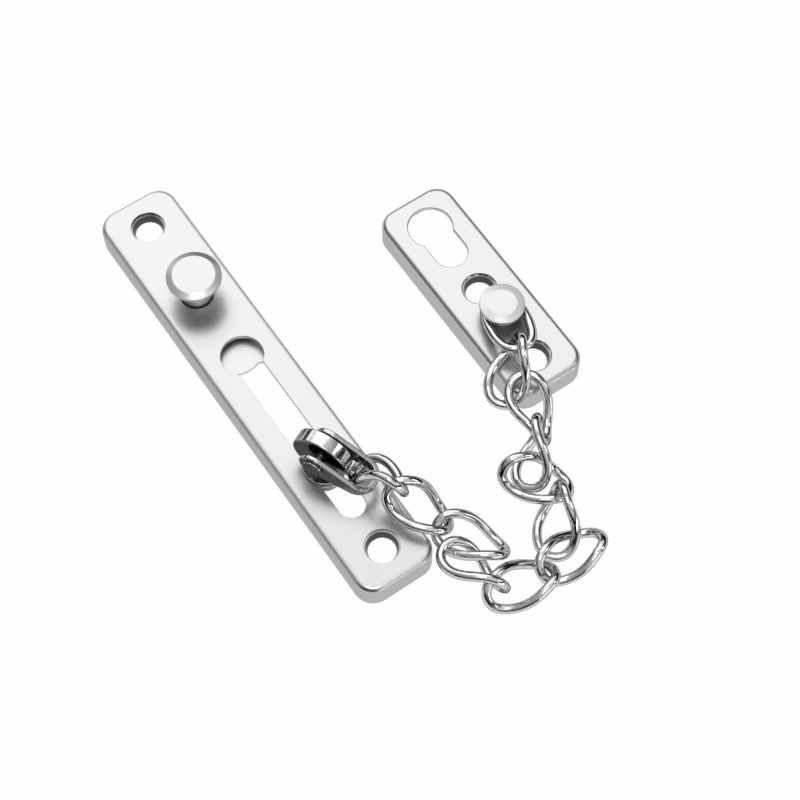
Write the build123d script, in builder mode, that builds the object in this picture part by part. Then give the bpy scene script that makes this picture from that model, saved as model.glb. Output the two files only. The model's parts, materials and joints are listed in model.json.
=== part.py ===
from build123d import *
from math import atan2, cos, degrees, pi, radians, sin
import os

os.makedirs("parts", exist_ok=True)

# Pressed tray plates
plate_width = 20.0
plate_height = 7.2
plate_sheet = 1.2
plate_corner = 4.8
plate_edge = 1.5
edge_steps = 3
long_length = 118.8
short_length = 60.4

# Countersunk screw dimples, measured from each plate's centre
screw_rim_d = 8.4
screw_hole_d = 6.6
screw_depth = 3.2
screw_land = 0.6
screw_wall_d = 9.2
screw_inset = 8.8
short_screw_low = -21.9
short_screw_high = 0.0

# Keyhole slot of the long plate and parking keyhole of the short plate
entry_d = 10.4
slot_width = 6.6
entry_y = 8.0
slot_end_y = -38.3
park_entry_d = 11.0
park_width = 8.4
park_entry_y = 20.7
park_end_y = 12.2

# Press knob and the spring leaf that it pushes down
knob_inset = 31.2
knob_rise = 9.1
knob_rim_d = 13.2
knob_flat_d = 10.2
knob_chamfer = 0.65
knob_rim = 0.8
knob_neck_d = 7.6
knob_clear = 0.4
spigot_d = 3.0
spigot_tail_d = 5.0
spigot_tail = 0.8
leaf_width = 12.0
leaf_sheet = 0.8
leaf_drop = 2.7
leaf_overlap = 3.0
leaf_corner = 3.0
pad_length = 5.0
ramp_length = 6.0
ramp_to_knob = 4.8

# Slide stud: foot behind the slot, neck in it, collar and round upright tongue in front
stud_y = -26.9
stud_play = 0.15
foot_d = 9.4
foot_height = 2.0
stud_neck_d = 6.0
collar_d = 10.0
collar_height = 1.2
tongue_d = 13.8
tongue_thick = 3.5

# Shackle folded from strap, on a rivet through the tongue, drooping towards its closed end
rivet_rise = 7.6
shackle_heading = -64.0
shackle_droop = 10.5
shackle_half = 4.3
shackle_sheet = 1.2
shackle_bend = 9.9
eye_height = 7.6
closed_height = 2.0
rivet_d = 2.6
rivet_play = 0.05
rivet_head_d = 5.0
rivet_head = 0.5

# Chain of twisted wire links
wire_d = 2.4
link_length = 19.0
link_width = 11.9
link_twist = -75.0
link_play = 0.2
wire_sides = 8
loop_steps = 9

# Anchor stud of the short plate
anchor_neck_d = 4.8
anchor_head_d = 10.8
anchor_flat_d = 6.9
anchor_under = 4.6
anchor_head = 1.4
anchor_rim = 0.5
anchor_tail_d = 7.0
anchor_tail = 1.0
anchor_fit = 0.03
anchor_play = 0.25
anchor_y = -8.8

# How the slack chain lies. The first link passes inside the closed end of the shackle
hook_touch = 258
hook_back = 0.1
hook_play = 0.27
hook_up = 0.91
first_lie = (-83, 36, -34)
# Each next link: heading, tilt, roll, place caught on the link before, place on itself
lay = [
    (-57, -30, 3, 51, 140),
    (-56, -6, -9, -13, 172),
    (-67, -8, -42, 248, 162),
    (-10, -2, 6, 306, 130),
    (0, -1, -179, 42, 193),
    (50, 26, -36, 286, 245),
    (136, 21, -13, 45, 128),
    (48, 17, -61, 278, 265),
    (75, 14, 25, 347, 114),
    (37, 30, -32, 67, 212),
    (75, -13, 0, 61, 138),
]

# Levels and places that follow from the sizes above
long_screw_y = long_length / 2 - screw_inset
knob_y = long_length / 2 - knob_inset
inner_face = plate_height - plate_sheet
leaf_top = plate_height - leaf_drop
leaf_end = entry_y - leaf_overlap
ramp_end = knob_y + ramp_to_knob
pad_start = ramp_end + ramp_length
pad_end = pad_start + pad_length
shackle_reach = shackle_bend + shackle_half
half_length = (link_length - wire_d) / 2
half_width = (link_width - wire_d) / 2
shackle_level = Plane((0, stud_y, plate_height + rivet_rise)).rotated((0, 0, shackle_heading))
tongue_side = Plane(shackle_level.origin, x_dir=shackle_level.x_dir, z_dir=-shackle_level.y_dir)
bow_level = Plane(shackle_level.location * Rotation(0, shackle_droop, 0))
bow_side = Plane(bow_level.origin, x_dir=bow_level.x_dir, z_dir=-bow_level.y_dir)


def upright(x, y):
    """Plane for a turned profile: radius to the right, height up, axis at x, y."""
    return Plane((x, y, 0), x_dir=(1, 0, 0), z_dir=(0, -1, 0))


def edge_arc(step):
    """How far in and up the rolled front edge has come after a step."""
    angle = radians(90 * step / edge_steps)
    return plate_edge * (1 - cos(angle)), plate_edge * sin(angle)


def pressed_plate(x, y, length, screws, keyhole):
    """Open-backed tray with drawn screw dimples and a keyhole, back on z = 0."""
    rim = screw_rim_d / 2
    hole = screw_hole_d / 2
    wall = screw_wall_d / 2
    entry, end, round_d, width = keyhole
    with BuildPart() as plate:
        with BuildSketch(Plane((x, y, 0))):
            RectangleRounded(plate_width, length, plate_corner)
        extrude(amount=plate_height - plate_edge)
        for step in range(edge_steps):
            start_in, start_up = edge_arc(step)
            end_in, end_up = edge_arc(step + 1)
            rise = end_up - start_up
            with BuildSketch(Plane((x, y, plate_height - plate_edge + start_up))):
                RectangleRounded(plate_width - 2 * start_in, length - 2 * start_in, plate_corner - start_in)
            extrude(amount=rise, taper=degrees(atan2(end_in - start_in, rise)))
        with BuildSketch(Plane((x, y, 0))):
            RectangleRounded(plate_width - 2 * plate_sheet, length - 2 * plate_sheet, plate_corner - plate_sheet)
        extrude(amount=inner_face, mode=Mode.SUBTRACT)
        with BuildSketch(Plane((x, y, inner_face))):
            for screw in screws:
                with Locations((0, screw)):
                    Circle(rim)
            with Locations((0, entry)):
                Circle(round_d / 2)
            with Locations((0, (entry + end) / 2)):
                SlotCenterToCenter(abs(entry - end), width, rotation=90)
        extrude(amount=plate_sheet, mode=Mode.SUBTRACT)
        for screw in screws:
            with BuildSketch(upright(x, y + screw)):
                with BuildLine():
                    Polyline(
                        (rim, plate_height),
                        (hole, plate_height - screw_depth + screw_land),
                        (hole, plate_height - screw_depth),
                        (wall, plate_height - screw_depth),
                        (wall, plate_height),
                        close=True,
                    )
                make_face()
            revolve(axis=Axis((x, y + screw, 0), (0, 0, 1)))
    return plate.part


# Long plate
long_keyhole = (entry_y, slot_end_y, entry_d, slot_width)
long_tray = pressed_plate(0, 0, long_length, (-long_screw_y, long_screw_y), long_keyhole)
with BuildPart() as long_plate:
    add(long_tray)
    with BuildSketch(Plane((0, knob_y, inner_face))):
        Circle(knob_neck_d / 2 + knob_clear)
    extrude(amount=plate_sheet, mode=Mode.SUBTRACT)
long_plate.part.label = "long_plate"
export_step(long_plate.part, "parts/long_plate.step")

# Spring leaf, welded by its raised pad to the inner face
with BuildPart() as lock_leaf:
    with BuildSketch(Plane.YZ):
        with BuildLine():
            Polyline(
                (leaf_end, leaf_top),
                (ramp_end, leaf_top),
                (pad_start, inner_face),
                (pad_end, inner_face),
                (pad_end, inner_face - leaf_sheet),
                (pad_start, inner_face - leaf_sheet),
                (ramp_end, leaf_top - leaf_sheet),
                (leaf_end, leaf_top - leaf_sheet),
                close=True,
            )
        make_face()
    extrude(amount=leaf_width / 2, both=True)
    fillet(lock_leaf.edges().filter_by(Axis.Z).sort_by(Axis.Y)[:2], leaf_corner)
    with BuildSketch(Plane((0, knob_y, leaf_top))):
        Circle(spigot_d / 2 + rivet_play)
    extrude(amount=-leaf_sheet, mode=Mode.SUBTRACT)
lock_leaf.part.label = "lock_leaf"
export_step(lock_leaf.part, "parts/lock_leaf.step")

# Press knob, riveted into the leaf by its spigot
knob_top = plate_height + knob_rise
knob_under = knob_top - knob_chamfer - knob_rim
with BuildPart() as release_knob:
    with BuildSketch(upright(0, knob_y)):
        with BuildLine():
            Polyline(
                (0, leaf_top - leaf_sheet - spigot_tail),
                (spigot_tail_d / 2, leaf_top - leaf_sheet - spigot_tail),
                (spigot_tail_d / 2, leaf_top - leaf_sheet),
                (spigot_d / 2, leaf_top - leaf_sheet),
                (spigot_d / 2, leaf_top),
                (knob_neck_d / 2, leaf_top),
                (knob_neck_d / 2, knob_under),
                (knob_rim_d / 2, knob_under),
                (knob_rim_d / 2, knob_under + knob_rim),
                (knob_flat_d / 2, knob_top),
                (0, knob_top),
                close=True,
            )
        make_face()
    revolve(axis=Axis((0, knob_y, 0), (0, 0, 1)))
release_knob.part.label = "release_knob"
export_step(release_knob.part, "parts/release_knob.step")

# Slide stud
foot_top = inner_face - stud_play
collar_low = plate_height + stud_play
collar_top = collar_low + collar_height
with BuildPart() as slide_stud:
    with BuildSketch(upright(0, stud_y)):
        with BuildLine():
            Polyline(
                (0, foot_top - foot_height),
                (foot_d / 2, foot_top - foot_height),
                (foot_d / 2, foot_top),
                (stud_neck_d / 2, foot_top),
                (stud_neck_d / 2, collar_low),
                (collar_d / 2, collar_low),
                (collar_d / 2, collar_top),
                (0, collar_top),
                close=True,
            )
        make_face()
    revolve(axis=Axis((0, stud_y, 0), (0, 0, 1)))
    with BuildSketch(tongue_side):
        Circle(tongue_d / 2)
    extrude(amount=tongue_thick / 2, both=True)
    with BuildSketch(tongue_side):
        Circle(rivet_d / 2 + rivet_play)
    extrude(amount=tongue_thick, both=True, mode=Mode.SUBTRACT)
slide_stud.part.label = "slide_stud"
export_step(slide_stud.part, "parts/slide_stud.step")

# Shackle: a U in plan, high at the eyes and low at the closed end
with BuildPart() as shackle:
    with BuildSketch(bow_level):
        SlotCenterToCenter(2 * shackle_bend, 2 * shackle_half)
        SlotCenterToCenter(2 * shackle_bend, 2 * (shackle_half - shackle_sheet), mode=Mode.SUBTRACT)
        with Locations((-eye_height / 2, 0)):
            Rectangle(2 * shackle_reach, 3 * shackle_half, align=(Align.MAX, Align.CENTER), mode=Mode.SUBTRACT)
    extrude(amount=eye_height / 2, both=True)
    with BuildSketch(bow_side):
        Circle(eye_height / 2)
        with Locations((shackle_reach, 0)):
            Rectangle(shackle_sheet, closed_height, align=(Align.MAX, Align.CENTER))
        make_hull()
    extrude(amount=2 * shackle_half, both=True, mode=Mode.INTERSECT)
    with BuildSketch(bow_side):
        Circle(rivet_d / 2 + rivet_play)
    extrude(amount=2 * shackle_half, both=True, mode=Mode.SUBTRACT)
shackle.part.label = "shackle"
export_step(shackle.part, "parts/shackle.step")

# Rivet with a low flat head on each cheek
with BuildPart() as shackle_rivet:
    with BuildSketch(shackle_level):
        with BuildLine():
            Polyline(
                (0, 0),
                (0, shackle_half + rivet_head),
                (rivet_head_d / 2, shackle_half + rivet_head),
                (rivet_head_d / 2, shackle_half),
                (rivet_d / 2, shackle_half),
                (rivet_d / 2, 0),
                close=True,
            )
        make_face()
        mirror(about=Plane.XZ)
    revolve(axis=Axis(shackle_level.origin, shackle_level.y_dir))
shackle_rivet.part.label = "shackle_rivet"
export_step(shackle_rivet.part, "parts/shackle_rivet.step")


def loop_point(turn, twist):
    """Centre of the wire at a turn round the loop, in the link's own axes."""
    angle = radians(turn)
    along = half_width * cos(angle) + (half_length - half_width) * sin(pi / 2 * cos(angle))
    lean = radians(twist) / 2 * sin(pi / 2 * along / half_length)
    across = half_width * sin(angle)
    return Vector(along, across * cos(lean), across * sin(lean))


def loop_inward(turn, twist):
    """Direction from the wire towards the inside of the loop."""
    point = loop_point(turn, twist)
    return Vector(-half_width * cos(radians(turn)), -point.Y, -point.Z).normalized()


def loop_ahead(turn, twist):
    """Direction of the wire along the loop."""
    return (loop_point(turn + 0.5, twist) - loop_point(turn - 0.5, twist)).normalized()


def wire_loop(twist):
    """Loop of wire with mitred bends: one half swept, the other the same half turned over."""
    bends = [loop_point(180 - 180 * (step + 0.5) / loop_steps, twist) for step in range(loop_steps)]
    start = Vector(bends[0].X, 0, 0)
    end = Vector(bends[-1].X, 0, 0)
    with BuildPart() as loop:
        with BuildLine() as path:
            Polyline(start, *bends, end)
        with BuildSketch(Plane(start, x_dir=(1, 0, 0), z_dir=bends[0] - start)):
            RegularPolygon(wire_d / 2, wire_sides)
        sweep(path=path.wires()[0], transition=Transition.RIGHT)
        add(loop.part, rotation=(180, 0, 0))
    return loop.part


def lie(heading, tilt, roll):
    """Plane whose axes are a link's own axes, at the origin."""
    ahead = Vector(1, 0, 0).rotate(Axis.Y, -tilt).rotate(Axis.Z, heading)
    up = Vector(0, 0, 1).rotate(Axis.X, roll).rotate(Axis.Y, -tilt).rotate(Axis.Z, heading)
    return Plane((0, 0, 0), x_dir=ahead, z_dir=up)


def turned(place, direction):
    """Direction in a link's own axes, seen from outside."""
    return place.from_local_coords(direction) - place.origin


# Where each link lies, from its contact with the one before it
hook = bow_level.from_local_coords(
    Vector(
        shackle_bend - hook_back,
        -(shackle_half - shackle_sheet - wire_d / 2 - hook_play),
        hook_up,
    )
)
first = lie(*first_lie)
places = [Plane(hook - first.from_local_coords(loop_point(hook_touch, link_twist)), first.x_dir, first.z_dir)]
for number, (heading, tilt, roll, catch, touch) in enumerate(lay, start=2):
    twist = link_twist if number <= len(lay) else 0
    before = places[-1]
    own = lie(heading, tilt, roll)
    side = turned(before, loop_ahead(catch, link_twist)).cross(turned(own, loop_ahead(touch, twist))).normalized()
    inside = turned(before, loop_inward(catch, link_twist)) - turned(own, loop_inward(touch, twist))
    if side.dot(inside) < 0:
        side = -side
    caught = before.from_local_coords(loop_point(catch, link_twist)) + side * (wire_d + link_play)
    places.append(Plane(caught - own.from_local_coords(loop_point(touch, twist)), own.x_dir, own.z_dir))

# Chain links
twisted_loop = wire_loop(link_twist)
for number, place in enumerate(places[:-1], start=1):
    with BuildPart() as link:
        add(twisted_loop.moved(place.location))
    link.part.label = f"link_{number:02d}"
    export_step(link.part, f"parts/link_{number:02d}.step")

# Plain end link round the anchor stud
with BuildPart() as anchor_link:
    add(wire_loop(0).moved(places[-1].location))
anchor_link.part.label = "anchor_link"
export_step(anchor_link.part, "parts/anchor_link.step")

# The short plate lies where the end link reaches its anchor stud
far_end = places[-1].from_local_coords(loop_point(0, 0))
reach = Vector(places[-1].x_dir.X, places[-1].x_dir.Y, 0).normalized()
anchor = far_end - reach * (wire_d / 2 + anchor_neck_d / 2 + anchor_play)
short_x = anchor.X
short_y = anchor.Y - anchor_y
park_keyhole = (park_entry_y, park_end_y, park_entry_d, park_width)
short_tray = pressed_plate(short_x, short_y, short_length, (short_screw_low, short_screw_high), park_keyhole)
with BuildPart() as short_plate:
    add(short_tray)
    with BuildSketch(Plane((anchor.X, anchor.Y, inner_face))):
        Circle(anchor_neck_d / 2 + anchor_fit)
    extrude(amount=plate_sheet, mode=Mode.SUBTRACT)
short_plate.part.label = "short_plate"
export_step(short_plate.part, "parts/short_plate.step")

# Anchor stud, riveted over behind the short plate
head_low = plate_height + anchor_under
with BuildPart() as anchor_stud:
    with BuildSketch(upright(anchor.X, anchor.Y)):
        with BuildLine():
            Polyline(
                (0, inner_face - anchor_tail),
                (anchor_tail_d / 2, inner_face - anchor_tail),
                (anchor_tail_d / 2, inner_face),
                (anchor_neck_d / 2, inner_face),
                (anchor_neck_d / 2, head_low),
                (anchor_head_d / 2, head_low),
                (anchor_head_d / 2, head_low + anchor_rim),
                (anchor_flat_d / 2, head_low + anchor_head),
                (0, head_low + anchor_head),
                close=True,
            )
        make_face()
    revolve(axis=Axis((anchor.X, anchor.Y, 0), (0, 0, 1)))
anchor_stud.part.label = "anchor_stud"
export_step(anchor_stud.part, "parts/anchor_stud.step")
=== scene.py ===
# %% [markdown]
# # A door chain, dressed for its portrait
# The real thing is a security chain for a door. A long pressed plate with a keyhole slot goes on
# the door, a short plate goes on the frame, and a chain of twisted wire links joins them. The sizes
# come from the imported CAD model, which is loaded first and never changed. Each solid is then shown
# by a finer piece in the same place.

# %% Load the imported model
import json
from math import cos, pi, radians, sin

import bpy
import numpy as np
from mathutils import Matrix, Vector


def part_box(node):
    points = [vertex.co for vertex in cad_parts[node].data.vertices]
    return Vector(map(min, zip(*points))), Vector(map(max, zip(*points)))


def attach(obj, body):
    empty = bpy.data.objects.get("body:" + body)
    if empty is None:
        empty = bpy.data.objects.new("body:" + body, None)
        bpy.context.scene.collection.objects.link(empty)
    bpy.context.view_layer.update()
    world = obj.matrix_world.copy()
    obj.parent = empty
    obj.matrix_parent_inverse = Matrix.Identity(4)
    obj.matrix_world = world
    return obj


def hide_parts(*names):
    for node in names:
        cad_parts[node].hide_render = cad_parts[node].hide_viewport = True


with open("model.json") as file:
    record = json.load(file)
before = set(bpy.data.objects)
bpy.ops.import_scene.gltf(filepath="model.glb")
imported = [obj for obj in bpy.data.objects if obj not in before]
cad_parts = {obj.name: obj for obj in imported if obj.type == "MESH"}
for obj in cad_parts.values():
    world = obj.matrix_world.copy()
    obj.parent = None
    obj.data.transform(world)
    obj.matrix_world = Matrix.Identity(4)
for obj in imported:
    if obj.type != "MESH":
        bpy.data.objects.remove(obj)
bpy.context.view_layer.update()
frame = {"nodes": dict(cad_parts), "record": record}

nodes = frame["nodes"]
bodies = frame["record"]["behaviour"]["bodies"]
body_of = {node: body for body, members in bodies.items() for node in members}


def in_mm(place):
    return [round(1000 * value, 1) for value in place]


# %% [markdown]
# ## The camera
# A photograph can be read backwards. The two plates lie flat and their long edges are straight, so
# their outlines in the picture give the lens, the height and the direction of the camera. An empty
# could be tracked by a constraint, but a camera that is simply turned to look at a point is easier
# to follow.

# %% Place the camera
look_at = Vector((0.026031, -0.019713, 0.0))
camera_distance, focal_length_mm = 0.48042, 91.34
swing, height = radians(-34.398), radians(63.596)
towards_camera = Vector((sin(swing) * cos(height), -cos(swing) * cos(height), sin(height)))

lens = bpy.data.cameras.new("photo_camera")
lens.lens = focal_length_mm
lens.sensor_width = 36.0
camera = bpy.data.objects.new("photo_camera", lens)
bpy.context.scene.collection.objects.link(camera)
camera.location = look_at + camera_distance * towards_camera
camera.rotation_euler = (-towards_camera).to_track_quat("-Z", "Y").to_euler()
bpy.context.scene.camera = camera
print("camera at, mm:", in_mm(camera.location))

# %% [markdown]
# ## A clean copy of a solid
# The CAD mesh is loose triangles, good for measuring and poor for light. A copy is welded, its flat
# faces are joined again, and its sharp edges get a small round, because a real edge is never
# perfectly sharp and it is that round which catches a thin bright line. The edges are then shaded
# smooth wherever the form is round.

# %% A helper for welded copies with softened edges
weld_gap = 0.000004
flat_within = radians(0.6)
smooth_below = radians(32)
edge_steps = 3


def pick_only(piece):
    bpy.ops.object.select_all(action="DESELECT")
    piece.select_set(True)
    bpy.context.view_layer.objects.active = piece


def smooth_rounds(piece):
    pick_only(piece)
    bpy.ops.object.shade_smooth_by_angle(angle=smooth_below)
    even = piece.modifiers.new("flat faces stay flat", "WEIGHTED_NORMAL")
    even.keep_sharp = True
    bpy.ops.object.modifier_apply(modifier=even.name)
    print(piece.name, "faces:", len(piece.data.polygons))


def welded_copy(node, name, edge_round, from_angle=35, reshape=None):
    piece = bpy.data.objects.new(name, nodes[node].data.copy())
    bpy.context.scene.collection.objects.link(piece)
    piece.data.materials.clear()
    pick_only(piece)
    bpy.ops.object.mode_set(mode="EDIT")
    bpy.ops.mesh.select_all(action="SELECT")
    bpy.ops.mesh.remove_doubles(threshold=weld_gap)
    bpy.ops.mesh.dissolve_limited(angle_limit=flat_within)
    bpy.ops.object.mode_set(mode="OBJECT")
    if reshape:
        reshape(piece)
    soft = piece.modifiers.new("soft edge", "BEVEL")
    soft.width = edge_round
    soft.segments = edge_steps
    soft.limit_method = "ANGLE"
    soft.angle_limit = radians(from_angle)
    bpy.ops.object.modifier_apply(modifier=soft.name)
    smooth_rounds(piece)
    return piece


def stand_for(piece, node):
    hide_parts(node)
    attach(piece, body_of[node])

# %% [markdown]
# ## The two pressed plates
# Each plate is a shallow tray drawn from stainless sheet: the rim stands on the door and the back is
# open. The screw holes are pressed inwards to cones so that the screw heads lie flush. A press
# leaves every edge slightly rolled, so these copies are softened from a smaller angle than the rest.

# %% Plates
plate_edge, plate_angle = 0.00026, 20
long_tray = welded_copy("long_plate", "long_tray", plate_edge, plate_angle)
stand_for(long_tray, "long_plate")
short_tray = welded_copy("short_plate", "short_tray", plate_edge, plate_angle)
stand_for(short_tray, "short_plate")

# %% [markdown]
# ## The knob and the anchor stud
# These two come off a lathe, so they are made here as on a lathe: half of the outline is drawn once,
# its corners are broken by a tiny round, and the line is spun about the axis. A cylinder primitive
# could be cut and inset to the same form, but a spun outline keeps every ring true and gives the
# highlights an even run.

# %% A helper that spins an outline
turn_steps = 96
corner_steps = 3
near_axis = 0.00001


def mark_points(piece, wanted):
    bpy.ops.object.mode_set(mode="EDIT")
    bpy.ops.mesh.select_mode(type="VERT")
    bpy.ops.mesh.select_all(action="DESELECT")
    bpy.ops.object.mode_set(mode="OBJECT")
    for point in piece.data.vertices:
        point.select = wanted(point.co)
    bpy.ops.object.mode_set(mode="EDIT")


def spun(name, axis, outline, corner_round):
    bpy.ops.object.select_all(action="DESELECT")
    bpy.ops.mesh.primitive_circle_add(vertices=len(outline), fill_type="NOTHING")
    piece = bpy.context.object
    piece.name = name
    for point, (radius, level) in zip(piece.data.vertices, outline):
        point.co = (axis[0] + radius / 1000, axis[1], level / 1000)
    pick_only(piece)
    mark_points(piece, lambda place: place.x - axis[0] < near_axis)
    bpy.ops.mesh.select_mode(type="EDGE")
    bpy.ops.mesh.delete(type="EDGE_FACE")
    mark_points(piece, lambda place: place.x - axis[0] > near_axis)
    bpy.ops.mesh.bevel(affect="VERTICES", offset=corner_round, segments=corner_steps)
    bpy.ops.mesh.select_all(action="SELECT")
    bpy.ops.mesh.spin(steps=turn_steps, angle=2 * pi, center=(*axis, 0.0), axis=(0.0, 0.0, 1.0))
    bpy.ops.mesh.select_all(action="SELECT")
    bpy.ops.mesh.remove_doubles(threshold=weld_gap)
    bpy.ops.mesh.normals_make_consistent(inside=False)
    bpy.ops.object.mode_set(mode="OBJECT")
    smooth_rounds(piece)
    return piece


def axis_of(node):
    low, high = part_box(node)
    return (low[0] + high[0]) / 2, (low[1] + high[1]) / 2

# %% Knob and anchor stud, outline as radius and level in millimetres
knob_outline = [
    (0, 2.9), (2.5, 2.9), (2.5, 3.7), (1.5, 3.7), (1.5, 4.5), (3.8, 4.5), (3.8, 13.7),
    (3.2, 13.7), (3.2, 14.85), (6.6, 14.85), (6.6, 15.65), (5.1, 16.3), (0, 16.3)]
knob = spun("press_knob", axis_of("release_knob"), knob_outline, 0.00012)
stand_for(knob, "release_knob")
anchor_outline = [
    (0, 5.0), (3.5, 5.0), (3.5, 6.0), (2.4, 6.0), (2.4, 11.8), (5.4, 11.8), (5.4, 12.75),
    (3.45, 13.2), (0, 13.2)]
anchor = spun("anchor_post", axis_of("anchor_stud"), anchor_outline, 0.00014)
stand_for(anchor, "anchor_stud")

# %% [markdown]
# ## The slide stud
# The stud is turned too: a foot that runs behind the slot, a neck in the slot and a collar in front
# of it. Its round tongue stands upright on the collar, with a hole for the rivet, and is spun in the
# same way. It is made lying down about the upright axis and then turned up into place, which is
# easier than spinning about a slant.

# %% Stud body and its upright tongue
stud_axis = axis_of("slide_stud")
stud_outline = [
    (0, 3.85), (4.7, 3.85), (4.7, 5.85), (3.0, 5.85), (3.0, 7.35), (5.0, 7.35), (5.0, 8.55),
    (0, 8.55)]
stud = spun("sliding_stud", stud_axis, stud_outline, 0.00016)
tongue_outline = [(1.35, -1.75), (6.9, -1.75), (6.9, 1.75), (1.35, 1.75)]
tongue = spun("stud_tongue", (0.0, 0.0), tongue_outline, 0.00030)
rivet_level, rivet_turn = 0.0148, radians(64)
rivet_way = Vector((sin(rivet_turn), cos(rivet_turn), 0.0))
stand_up = Vector((0.0, 0.0, 1.0)).rotation_difference(rivet_way).to_matrix().to_4x4()
tongue.data.transform(Matrix.Translation((*stud_axis, rivet_level)) @ stand_up)
pick_only(stud)
tongue.select_set(True)
bpy.ops.object.join()
stand_for(stud, "slide_stud")

# %% [markdown]
# ## The shackle and its rivet
# The shackle is a strap folded to a U and pinned to the tongue by a rivet. Both were tumbled after
# cutting, which rounds the edges. A flat strip could be bent by a modifier, but the CAD solid already
# has the fold, so each is a welded copy with a soft edge.

# %% Shackle and rivet
bow = welded_copy("shackle", "shackle_bow", 0.00026)
stand_for(bow, "shackle")
rivet = welded_copy("shackle_rivet", "shackle_pin", 0.00014)
stand_for(rivet, "shackle_rivet")

# %% [markdown]
# ## The lock leaf
# The leaf is a spring strip behind the long plate that closes the round end of the keyhole, and its
# end is cut to an arc. A cutter could take the corners off. Here the straight end is divided into
# short steps instead, and these are moved onto the arc, which leaves the rest of the strip alone.

# %% Leaf with a round end
leaf_arc = 0.008
end_cuts = 23
end_gap = 0.00001
least_end_edge = 0.004


def round_end(piece):
    bpy.ops.object.mode_set(mode="EDIT")
    bpy.ops.mesh.select_mode(type="EDGE")
    bpy.ops.mesh.select_all(action="DESELECT")
    bpy.ops.object.mode_set(mode="OBJECT")
    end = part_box("lock_leaf")[0].y
    points = piece.data.vertices
    for edge in piece.data.edges:
        one, other = (points[index].co for index in edge.vertices)
        at_end = max(one.y, other.y) < end + end_gap
        edge.select = at_end and abs(one.x - other.x) > least_end_edge
    bpy.ops.object.mode_set(mode="EDIT")
    bpy.ops.mesh.subdivide(number_cuts=end_cuts)
    bpy.ops.object.mode_set(mode="OBJECT")
    for point in piece.data.vertices:
        if point.co.y < end + end_gap:
            point.co.y = end + leaf_arc - (leaf_arc ** 2 - point.co.x ** 2) ** 0.5


leaf = welded_copy("lock_leaf", "spring_leaf", 0.00010, reshape=round_end)
stand_for(leaf, "lock_leaf")

# %% [markdown]
# ## One link of the chain
# A link is a piece of round wire bent to a long ring, and then twisted so that one end stands across
# the other. That lets a slack chain lie flat. The ring starts as a circle primitive, its points are
# moved onto the bent line, and a curve with a round bevel gives the wire its thickness. The centre
# line is that of the CAD model, whose wire has eight sides. The round wire is drawn a little under
# its full size, so that the links keep clear of one another at the other poses too.

# %% Model the wire ring
wire_d, link_length, link_width = 0.0024, 0.0190, 0.0119
wire_shown = 0.00225
link_twist = radians(-75)
half_length = (link_length - wire_d) / 2
half_width = (link_width - wire_d) / 2
ring_steps, round_steps = 96, 6
ring_weld_gap = 0.000002


def wire_ring(name, twist):
    bpy.ops.object.select_all(action="DESELECT")
    bpy.ops.mesh.primitive_circle_add(
        vertices=ring_steps, radius=half_width, fill_type="NOTHING")
    ring = bpy.context.object
    ring.name = name
    for point in ring.data.vertices:
        turn = np.arctan2(point.co.y, point.co.x)
        along = half_width * cos(turn) + (half_length - half_width) * sin(pi / 2 * cos(turn))
        lean = twist / 2 * sin(pi / 2 * along / half_length)
        aside = half_width * sin(turn)
        point.co = (along, aside * cos(lean), aside * sin(lean))
    bpy.ops.object.convert(target="CURVE")
    ring.data.bevel_depth = wire_shown / 2
    ring.data.bevel_resolution = round_steps
    bpy.ops.object.convert(target="MESH")
    pick_only(ring)
    bpy.ops.object.mode_set(mode="EDIT")
    bpy.ops.mesh.select_all(action="SELECT")
    bpy.ops.mesh.remove_doubles(threshold=ring_weld_gap)
    bpy.ops.mesh.normals_make_consistent(inside=False)
    bpy.ops.object.mode_set(mode="OBJECT")
    bpy.ops.object.shade_smooth()
    return ring


twisted_ring = wire_ring("twisted_ring", link_twist)
plain_ring = wire_ring("plain_ring", 0.0)
print("faces of one link:", len(twisted_ring.data.polygons))

# %% [markdown]
# ## Lay the links where the CAD links lie
# A link looks the same after half a turn about any of its own three axes. So the axes of a CAD link,
# along which its surface spreads most, less and least, are enough to lay the smooth ring on it. Each
# copy has its own mesh, and its place is in the mesh, so that its object stays at the origin.

# %% Copy the rings onto the links
def own_axes(node):
    mesh = nodes[node].data
    middles = np.array([face.center for face in mesh.polygons])
    areas = np.array([face.area for face in mesh.polygons])
    centre = np.average(middles, axis=0, weights=areas)
    axes = np.linalg.eigh(np.cov((middles - centre).T, aweights=areas))[1]
    longest, middle = axes[:, 2], axes[:, 1]
    columns = np.column_stack((longest, middle, np.cross(longest, middle)))
    place = Matrix(columns.tolist()).to_4x4()
    place.translation = centre
    return place


def lay_ring(ring, node, name):
    piece = bpy.data.objects.new(name, ring.data.copy())
    bpy.context.scene.collection.objects.link(piece)
    piece.data.transform(own_axes(node))
    stand_for(piece, node)
    return piece


chain = [
    lay_ring(twisted_ring, f"link_{number:02d}", f"wire_link_{number:02d}")
    for number in range(1, 12)]
chain.append(lay_ring(plain_ring, "anchor_link", "wire_link_end"))
for ring in (twisted_ring, plain_ring):
    bpy.data.objects.remove(ring)
print("links laid:", len(chain))

# %% [markdown]
# ## Brushed steel for the plates
# The plates were ground with a belt along their length, which leaves fine straight scratches. A
# noise texture stretched along the plate gives them: the same noise varies the gloss a little and
# lifts the surface by a few microns, so that highlights spread across the grain. Wave bands would
# give lines too, but too regular ones. Object coordinates keep the grain fixed to the metal.

# %% Helpers for node materials
noise_low, noise_high = 0.25, 0.75
dark_stop, light_stop = 0.3, 0.7


def steel_grey(level, blue=0.005):
    return level, level, level + blue


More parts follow.
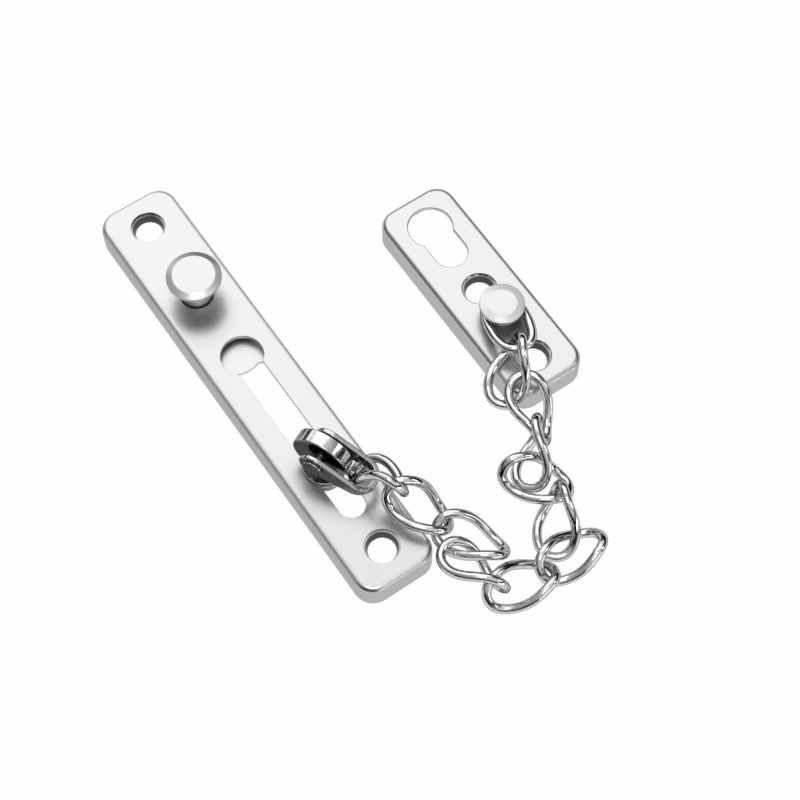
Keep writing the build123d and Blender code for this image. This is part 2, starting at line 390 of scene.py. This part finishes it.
def new_finish(name, colour, metal, roughness, edge_share=1.0):
    finish = bpy.data.materials.new(name)
    finish.use_nodes = True
    skin = finish.node_tree.nodes["Principled BSDF"]
    skin.inputs["Base Color"].default_value = (*colour, 1.0)
    skin.inputs["Metallic"].default_value = metal
    skin.inputs["Roughness"].default_value = roughness
    skin.inputs["Specular Tint"].default_value = (edge_share, edge_share, edge_share, 1.0)
    return finish, finish.node_tree.nodes, finish.node_tree.links, skin


def grain(tree, links, scale, detail, centre=(0.0, 0.0, 0.0)):
    place = tree.new("ShaderNodeTexCoord")
    stretch = tree.new("ShaderNodeMapping")
    stretch.inputs["Location"].default_value = [-a * b for a, b in zip(centre, scale)]
    stretch.inputs["Scale"].default_value = scale
    noise = tree.new("ShaderNodeTexNoise")
    noise.inputs["Scale"].default_value = 1.0
    noise.inputs["Detail"].default_value = detail
    links.new(place.outputs["Object"], stretch.inputs["Vector"])
    links.new(stretch.outputs["Vector"], noise.inputs["Vector"])
    return noise.outputs["Fac"]


def spread(tree, links, value, low, high):
    remap = tree.new("ShaderNodeMapRange")
    remap.inputs["From Min"].default_value = noise_low
    remap.inputs["From Max"].default_value = noise_high
    remap.inputs["To Min"].default_value = low
    remap.inputs["To Max"].default_value = high
    links.new(value, remap.inputs["Value"])
    return remap.outputs["Result"]


def tint(tree, links, value, dark, light):
    ramp = tree.new("ShaderNodeValToRGB")
    first, last = ramp.color_ramp.elements
    first.position, last.position = dark_stop, light_stop
    first.color, last.color = (*dark, 1.0), (*light, 1.0)
    links.new(value, ramp.inputs["Fac"])
    return ramp.outputs["Color"]


def work_surface(tree, links, skin, marks, gloss, height, strength):
    links.new(spread(tree, links, marks, *gloss), skin.inputs["Roughness"])
    bump = tree.new("ShaderNodeBump")
    bump.inputs["Strength"].default_value = strength
    bump.inputs["Distance"].default_value = height
    links.new(marks, bump.inputs["Height"])
    links.new(bump.outputs["Normal"], skin.inputs["Normal"])

# %% Brushed plate steel
belt_grain = (4200.0, 40.0, 4200.0)


def brushed_finish(name, node):
    low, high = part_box(node)
    finish, tree, links, skin = new_finish(name, steel_grey(0.52), 1.0, 0.30, 0.70)
    scratches = grain(tree, links, belt_grain, 3.0, (low + high) / 2)
    tone = tint(tree, links, scratches, steel_grey(0.49), steel_grey(0.55, 0.003))
    links.new(tone, skin.inputs["Base Color"])
    work_surface(tree, links, skin, scratches, (0.26, 0.36), 0.000015, 0.2)
    return finish


long_tray.data.materials.append(brushed_finish("brushed_long_plate", "long_plate"))
short_tray.data.materials.append(brushed_finish("brushed_short_plate", "short_plate"))
print("brushed:", long_tray.name, short_tray.name)

# %% [markdown]
# ## Screw dimples with painted shade
# The punch that draws a dimple leaves glossy steel with faint rings round the hole. Its colour is
# painted dark deep down and light at the mouth, as painted shade in the hollow. A ring of its own
# could carry this finish, but a dimple is one sheet with its plate. So these faces of the plate get a
# second finish, whose tone follows the depth. They are found by their distance from the axis of each
# screw hole.

# %% Dimple finish with painted shade by depth
dimple_painted_shade, tree, links, skin = new_finish(
    "dimple_steel_painted_shade", steel_grey(0.20), 1.0, 0.16, 0.8)
painted_shade_full_at, painted_shade_gone_at = 0.0056, 0.0070
rubbed = grain(tree, links, (400.0, 400.0, 5200.0), 3.0)
place = tree.new("ShaderNodeTexCoord")
level = tree.new("ShaderNodeSeparateXYZ")
shade_by_depth = tree.new("ShaderNodeMapRange")
shade_by_depth.inputs["From Min"].default_value = painted_shade_full_at
shade_by_depth.inputs["From Max"].default_value = painted_shade_gone_at
links.new(place.outputs["Object"], level.inputs["Vector"])
links.new(level.outputs["Z"], shade_by_depth.inputs["Value"])
# painted shade: the colour goes from near black deep in the dimple to light steel at its mouth
tone = tint(tree, links, shade_by_depth.outputs["Result"], steel_grey(0.07), steel_grey(0.62, 0.01))
links.new(tone, skin.inputs["Base Color"])
work_surface(tree, links, skin, rubbed, (0.10, 0.24), 0.00003, 0.3)
print("finish made:", dimple_painted_shade.name)

# %% Give it to the dimple faces
long_screw_y, short_screw_step = 0.0506, 0.0219
dimple_reach, dimple_floor, dimple_mouth = 0.00418, 0.0039, 0.00712
short_x, short_y = axis_of("short_plate")
screw_axes = [
    Vector((0.0, long_screw_y)), Vector((0.0, -long_screw_y)),
    Vector((short_x, short_y)), Vector((short_x, short_y - short_screw_step))]
for plate in (long_tray, short_tray):
    plate.data.materials.append(dimple_painted_shade)
    for face in plate.data.polygons:
        away = min((face.center.xy - axis).length for axis in screw_axes)
        if away < dimple_reach and dimple_floor < face.center.z < dimple_mouth:
            face.material_index = 1
    print(plate.name, "dimple faces:", sum(face.material_index for face in plate.data.polygons))

# %% [markdown]
# ## Turned steel
# A lathe leaves rings about the axis of each piece. A wave texture has rings ready made, but evenly
# spaced ones. Here the distance from the axis feeds a fine noise, and a mapping centres the rings on
# the piece. The knob and the anchor stud keep this finish, and the stud in the slot is polished.

# %% Rings about an upright axis
turned_tone, turned_roughness = steel_grey(0.555), 0.34
ring_dark, ring_light = 0.93, 1.06
rings_per_metre = 6500.0


def turned_finish(name, node):
    x, y = axis_of(node)
    finish, tree, links, skin = new_finish(name, turned_tone, 1.0, turned_roughness, 0.7)
    place = tree.new("ShaderNodeTexCoord")
    centre = tree.new("ShaderNodeMapping")
    centre.inputs["Location"].default_value = (-x, -y, 0.0)
    centre.inputs["Scale"].default_value = (1.0, 1.0, 0.0)
    away = tree.new("ShaderNodeVectorMath")
    away.operation = "LENGTH"
    rings = tree.new("ShaderNodeTexNoise")
    rings.noise_dimensions = "1D"
    rings.inputs["Scale"].default_value = rings_per_metre
    rings.inputs["Detail"].default_value = 3.0
    links.new(place.outputs["Object"], centre.inputs["Vector"])
    links.new(centre.outputs["Vector"], away.inputs[0])
    links.new(away.outputs["Value"], rings.inputs["W"])
    dark = [ring_dark * value for value in turned_tone]
    light = [ring_light * value for value in turned_tone]
    links.new(tint(tree, links, rings.outputs["Fac"], dark, light), skin.inputs["Base Color"])
    gloss = (turned_roughness - 0.05, turned_roughness + 0.07)
    work_surface(tree, links, skin, rings.outputs["Fac"], gloss, 0.000015, 0.3)
    return finish


for piece, node in ((knob, "release_knob"), (anchor, "anchor_stud")):
    piece.data.materials.append(turned_finish(f"turned_steel_{piece.name}", node))
print("turned:", knob.name, anchor.name)

# %% [markdown]
# ## Bright steel for the chain
# The links were tumbled until they shone. Such wire mirrors the room, with only faint hairlines, so
# the roughness is low and a soft noise makes it wander a little. One even roughness could be set
# instead, but worn wire is never so even. The finish is set to send back less light at a slant than
# a perfect mirror, which draws a darker line along both sides of the wire.

# %% Tumbled bright steel
bright, tree, links, skin = new_finish("bright_chain_steel", steel_grey(0.60), 1.0, 0.09, 0.20)
wander = grain(tree, links, (900.0, 900.0, 900.0), 3.0)
tone = tint(tree, links, wander, steel_grey(0.55), steel_grey(0.65))
links.new(tone, skin.inputs["Base Color"])
work_surface(tree, links, skin, wander, (0.05, 0.13), 0.00003, 0.12)
for piece in chain:
    piece.data.materials.append(bright)
print("bright links:", len(chain))

# %% [markdown]
# ## Plating on the stud and the shackle, with painted light and shade
# The stud and the shackle are plated and polished darker than the links. Their flat cheeks are
# painted darker, as painted shade, and their rims and edges lighter, as a painted highlight. Faces
# could be given two finishes by hand, but here the tone follows how squarely a face looks along the
# rivet, which blends over the round edges. Fine marks from the wheel run over all of it.

# %% Plating with painted rim highlight and painted cheek shade
plating_painted_light, tree, links, skin = new_finish(
    "plating_painted_highlight_and_shade", (0.45, 0.44, 0.43), 1.0, 0.12, 0.4)
wheel = grain(tree, links, (2600.0, 2600.0, 500.0), 3.0)
place = tree.new("ShaderNodeTexCoord")
flatness = tree.new("ShaderNodeVectorMath")
flatness.operation = "DOT_PRODUCT"
flatness.inputs[1].default_value = rivet_way
either_side = tree.new("ShaderNodeMath")
either_side.operation = "ABSOLUTE"
links.new(place.outputs["Normal"], flatness.inputs[0])
links.new(flatness.outputs["Value"], either_side.inputs[0])
# painted highlight on the rims and painted shade on the cheeks, chosen by how squarely a face looks
# along the rivet
painted_rim_highlight = tint(tree, links, wheel, (0.46, 0.45, 0.44), (0.64, 0.63, 0.62))
painted_cheek_shade = tint(tree, links, wheel, (0.17, 0.165, 0.16), (0.27, 0.265, 0.26))
painted_shade_share = spread(tree, links, either_side.outputs["Value"], 0.0, 1.0)
blend = tree.new("ShaderNodeMix")
blend.data_type = "RGBA"
first_colour, second_colour, mixed_colour = 6, 7, 2
links.new(painted_shade_share, blend.inputs["Factor"])
links.new(painted_rim_highlight, blend.inputs[first_colour])
links.new(painted_cheek_shade, blend.inputs[second_colour])
links.new(blend.outputs[mixed_colour], skin.inputs["Base Color"])
work_surface(tree, links, skin, wheel, (0.07, 0.19), 0.00002, 0.15)
for piece in (stud, bow, rivet):
    piece.data.materials.append(plating_painted_light)
print("plated:", stud.name, bow.name, rivet.name)

# %% [markdown]
# ## Rolled steel for the leaf
# Spring strip comes from the rolling mill with faint streaks along its length and is left as it is.
# It could share the finish of the plates, but its streaks are shorter and its gloss is less even, so
# it has a stretched noise of its own.

# %% Rolled spring steel
sprung, tree, links, skin = new_finish("rolled_spring_steel", steel_grey(0.55), 1.0, 0.32)
rolled = grain(tree, links, (3000.0, 120.0, 3000.0), 4.0)
tone = tint(tree, links, rolled, steel_grey(0.51), steel_grey(0.59))
links.new(tone, skin.inputs["Base Color"])
work_surface(tree, links, skin, rolled, (0.26, 0.40), 0.00002, 0.3)
leaf.data.materials.append(sprung)
print("rolled:", leaf.name)

# %% [markdown]
# ## The floor
# Small goods are often laid on clear glass, well above white paper: the shadow then falls softly on
# the paper and no dark rim clings to the object. The paper lies low here for that reason, and so
# that the chain has room to hang at its other poses. Plain white paint alone could come out grey. So
# the paper is part paint, which takes the shadow, and part glow, which the camera and every
# mirror-like surface see as white.

# %% Floor
paper_size, paper_level, glow_share = 40.0, -0.15, 0.965
bpy.ops.object.select_all(action="DESELECT")
bpy.ops.mesh.primitive_plane_add(size=paper_size, location=(0.0, 0.0, paper_level))
floor = bpy.context.object
floor.name = "studio_floor"
paper, tree, links, skin = new_finish("studio_paper", (0.9, 0.9, 0.9), 0.0, 0.9)
seen = tree.new("ShaderNodeLightPath")
first_two = tree.new("ShaderNodeMath")
any_of_them = tree.new("ShaderNodeMath")
share = tree.new("ShaderNodeMath")
first_two.operation, any_of_them.operation, share.operation = "ADD", "ADD", "MULTIPLY"
any_of_them.use_clamp = True
share.inputs[1].default_value = glow_share
glow = tree.new("ShaderNodeEmission")
glow.inputs["Strength"].default_value = 1.0
both = tree.new("ShaderNodeMixShader")
links.new(seen.outputs["Is Camera Ray"], first_two.inputs[0])
links.new(seen.outputs["Is Glossy Ray"], first_two.inputs[1])
links.new(first_two.outputs["Value"], any_of_them.inputs[0])
links.new(seen.outputs["Is Transmission Ray"], any_of_them.inputs[1])
links.new(any_of_them.outputs["Value"], share.inputs[0])
links.new(share.outputs["Value"], both.inputs["Fac"])
links.new(skin.outputs["BSDF"], both.inputs[1])
links.new(glow.outputs["Emission"], both.inputs[2])
links.new(both.outputs["Shader"], tree["Material Output"].inputs["Surface"])
floor.data.materials.append(paper)
print("paper level, mm:", 1000 * paper_level)

# %% [markdown]
# ## The lamps
# Polished steel has little look of its own and shows what surrounds it. One strong lamp could light
# the paper well enough, but the steel would show it as a hard spot. So a broad softbox behind the
# object makes the plate faces nearly white, and narrower ones put soft lights on the upright sides.
# All of them face the middle of the picture from the same distance.

# %% Lamps
lamp_distance = 0.9


def softbox(name, direction, size, power):
    lamp = bpy.data.lights.new(name, "AREA")
    lamp.shape = "RECTANGLE"
    lamp.size, lamp.size_y = size
    lamp.energy = power
    holder = bpy.data.objects.new(name, lamp)
    bpy.context.scene.collection.objects.link(holder)
    aim = Vector(direction).normalized()
    holder.location = look_at + lamp_distance * aim
    holder.rotation_euler = (-aim).to_track_quat("-Z", "Y").to_euler()


softbox("box_behind", (0.335, 0.49, 0.805), (1.0, 0.70), 2.15)
softbox("panel_back", (0.02, 0.91, 0.41), (0.50, 0.24), 0.5)
softbox("box_above", (-0.13, -0.17, 0.97), (0.34, 0.34), 1.4)
softbox("strip_left", (-0.92, 0.36, 0.15), (0.7, 0.14), 0.28)
softbox("strip_right", (0.70, -0.50, 0.50), (0.16, 0.34), 0.6)
softbox("strip_front", (0.22, -0.96, 0.17), (0.9, 0.15), 1.5)

# %% [markdown]
# ## The studio walls
# The walls are dark at their foot, which gives the links their dark streaks, pale from a little under
# forty degrees upwards, and dimmer to the two sides. Panels could stand around the object, but two
# colour ramps over the direction do the same and are easy to tune: one by height and one by side.

# %% Studio walls
walls_by_height = [(0.0, 0.01), (0.30, 0.03), (0.44, 0.28), (0.60, 0.95), (0.95, 0.90)]
walls_by_side = [(0.17, 0.45), (0.42, 1.0), (0.70, 1.0), (0.84, 0.22)]


def set_stops(ramp, levels):
    while len(ramp.elements) < len(levels):
        ramp.elements.new(0.5)
    for stop, (place, level) in zip(ramp.elements, levels):
        stop.position = place
        stop.color = (level, level, level, 1.0)


room = bpy.data.worlds.new("studio_walls")
room.use_nodes = True
tree, links = room.node_tree.nodes, room.node_tree.links
way = tree.new("ShaderNodeTexCoord")
parts = tree.new("ShaderNodeSeparateXYZ")
wall = tree.new("ShaderNodeValToRGB")
set_stops(wall.color_ramp, walls_by_height)
links.new(way.outputs["Generated"], parts.inputs["Vector"])
links.new(parts.outputs["Z"], wall.inputs["Fac"])
halve_and_shift = tree.new("ShaderNodeMath")
halve_and_shift.operation = "MULTIPLY_ADD"
halve_and_shift.inputs[1].default_value = 0.5
halve_and_shift.inputs[2].default_value = 0.5
side = tree.new("ShaderNodeValToRGB")
set_stops(side.color_ramp, walls_by_side)
links.new(parts.outputs["X"], halve_and_shift.inputs[0])
links.new(halve_and_shift.outputs["Value"], side.inputs["Fac"])
links.new(side.outputs["Color"], tree["Background"].inputs["Strength"])
links.new(wall.outputs["Color"], tree["Background"].inputs["Color"])
bpy.context.scene.world = room
bpy.context.scene.view_settings.view_transform = "Standard"
print("wall steps by height and side:", len(walls_by_height), len(walls_by_side))
